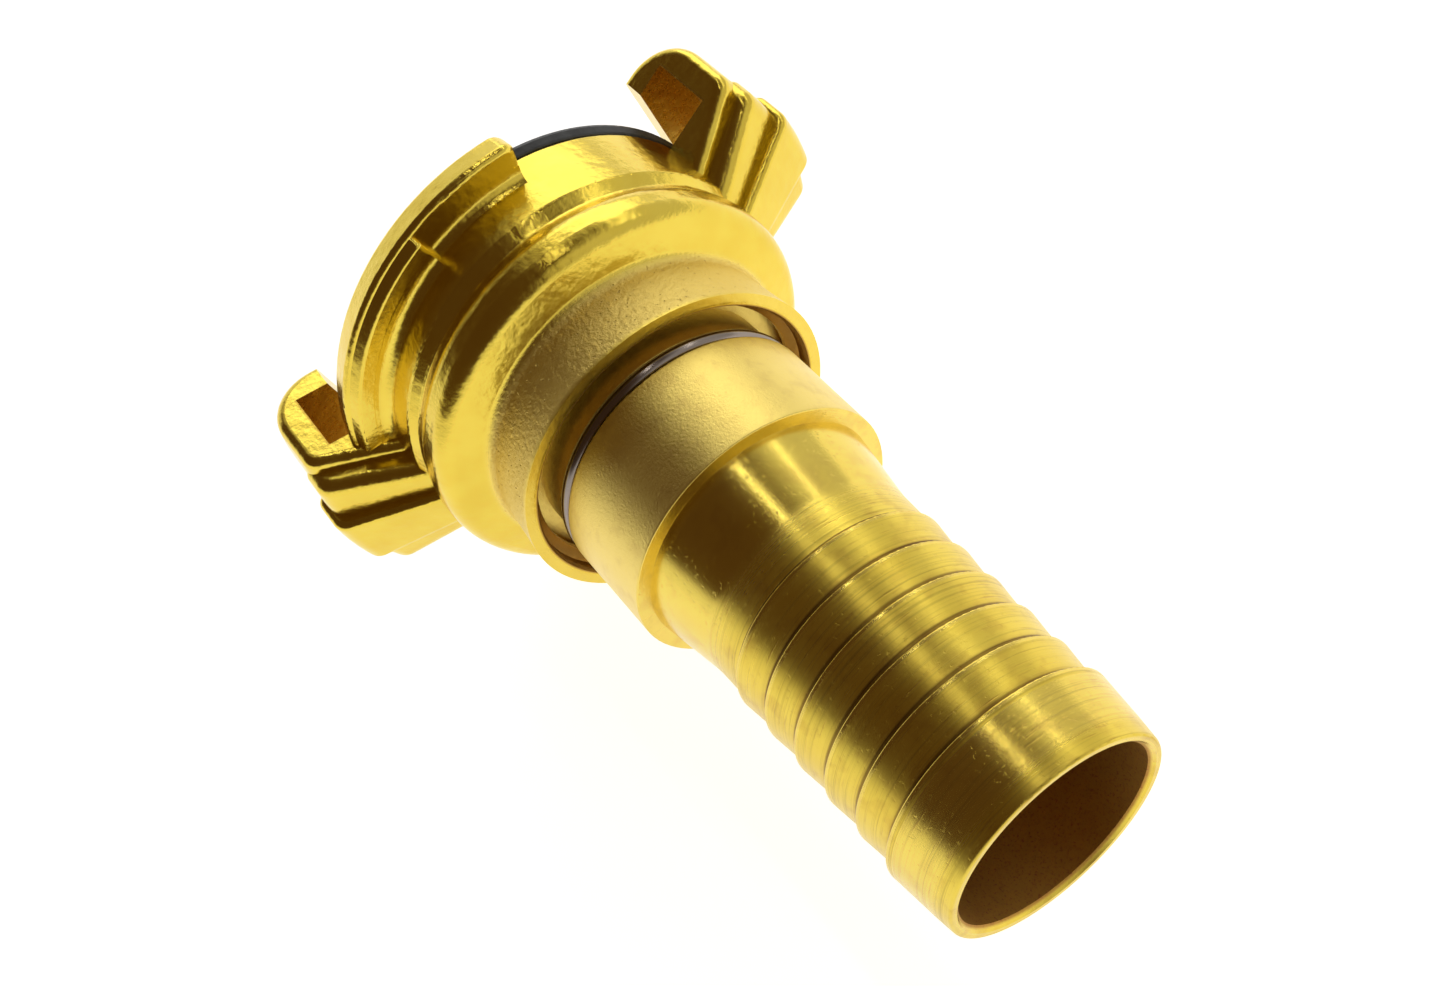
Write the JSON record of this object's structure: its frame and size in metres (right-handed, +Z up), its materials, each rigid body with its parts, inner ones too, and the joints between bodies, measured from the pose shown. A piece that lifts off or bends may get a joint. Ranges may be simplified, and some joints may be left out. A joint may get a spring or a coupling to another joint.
{
  "type": "claw hose coupling",
  "caption": "Claw-type quick coupling in brass with a rubber face seal and a swivelling barbed hose tail; pushes onto a matching half and locks by a part turn.",
  "frame": {"origin": "centre of the rubber sealing face on the flow axis", "axes": "+X along the flow axis towards the hose end; the two claws stand on +Y and -Y and reach forward to -X; +Z up with both claws level"},
  "size_m": [0.0747, 0.0532, 0.043],
  "materials": {
    "head_brass": "forged and tumbled, bright",
    "tail_brass": "turned, fine circumferential marks",
    "seal_rubber": "moulded, matt black",
    "oring_rubber": "moulded, smooth",
    "washer_plastic": "natural acetal",
    "ring_steel": "drawn spring steel wire"
  },
  "bodies": {
    "head": {"claw_head": "head_brass", "face_seal": "seal_rubber"},
    "tail": {"hose_tail": "tail_brass", "spigot_oring": "oring_rubber"},
    "washer": {"thrust_washer": "washer_plastic"},
    "ring": {"wire_ring": "ring_steel"}
  },
  "joints": [
    {"name": "tail_swivel", "type": "hinge", "parent": "head", "child": "tail", "pos_m": [0.02, 0, 0], "axis": [1, 0, 0], "continuous": true},
    {"name": "washer_float", "type": "hinge", "parent": "head", "child": "washer", "pos_m": [0.0158, 0, 0], "axis": [1, 0, 0], "continuous": true},
    {"name": "ring_float", "type": "hinge", "parent": "tail", "child": "ring", "pos_m": [0.02275, 0, 0], "axis": [1, 0, 0], "continuous": true}
  ]
}
